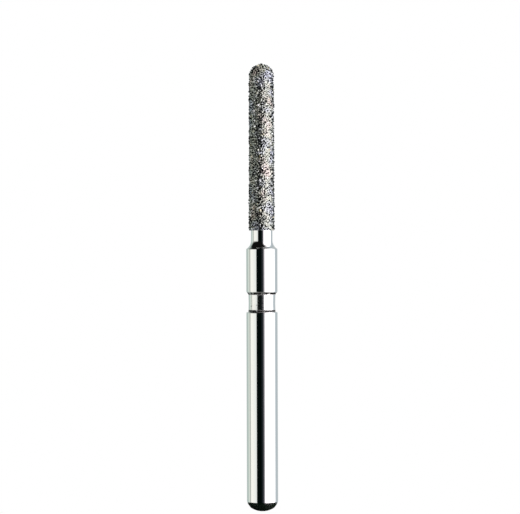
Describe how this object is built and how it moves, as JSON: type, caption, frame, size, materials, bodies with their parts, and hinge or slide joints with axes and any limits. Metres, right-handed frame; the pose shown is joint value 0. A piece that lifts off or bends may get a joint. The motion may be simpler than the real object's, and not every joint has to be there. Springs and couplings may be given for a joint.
{
  "type": "dental bur",
  "caption": "Round-end cylinder diamond bur with a bare neck and a grooved friction-grip shank, gripped in a turbine handpiece to grind teeth.",
  "frame": {"origin": "lowest point of the shank's domed end, on the bur's axis", "axes": "+Z along the bur's axis from the shank's end to the cutting tip; X and Y are alike, because the bur is round"},
  "size_m": [0.0016, 0.0016, 0.023],
  "materials": {
    "polished_steel": "polished stainless steel",
    "diamond_grit": "diamond grains in bright nickel plating"
  },
  "bodies": {
    "root": {"steel_blank": "polished_steel", "diamond_crust": "diamond_grit"}
  },
  "joints": []
}
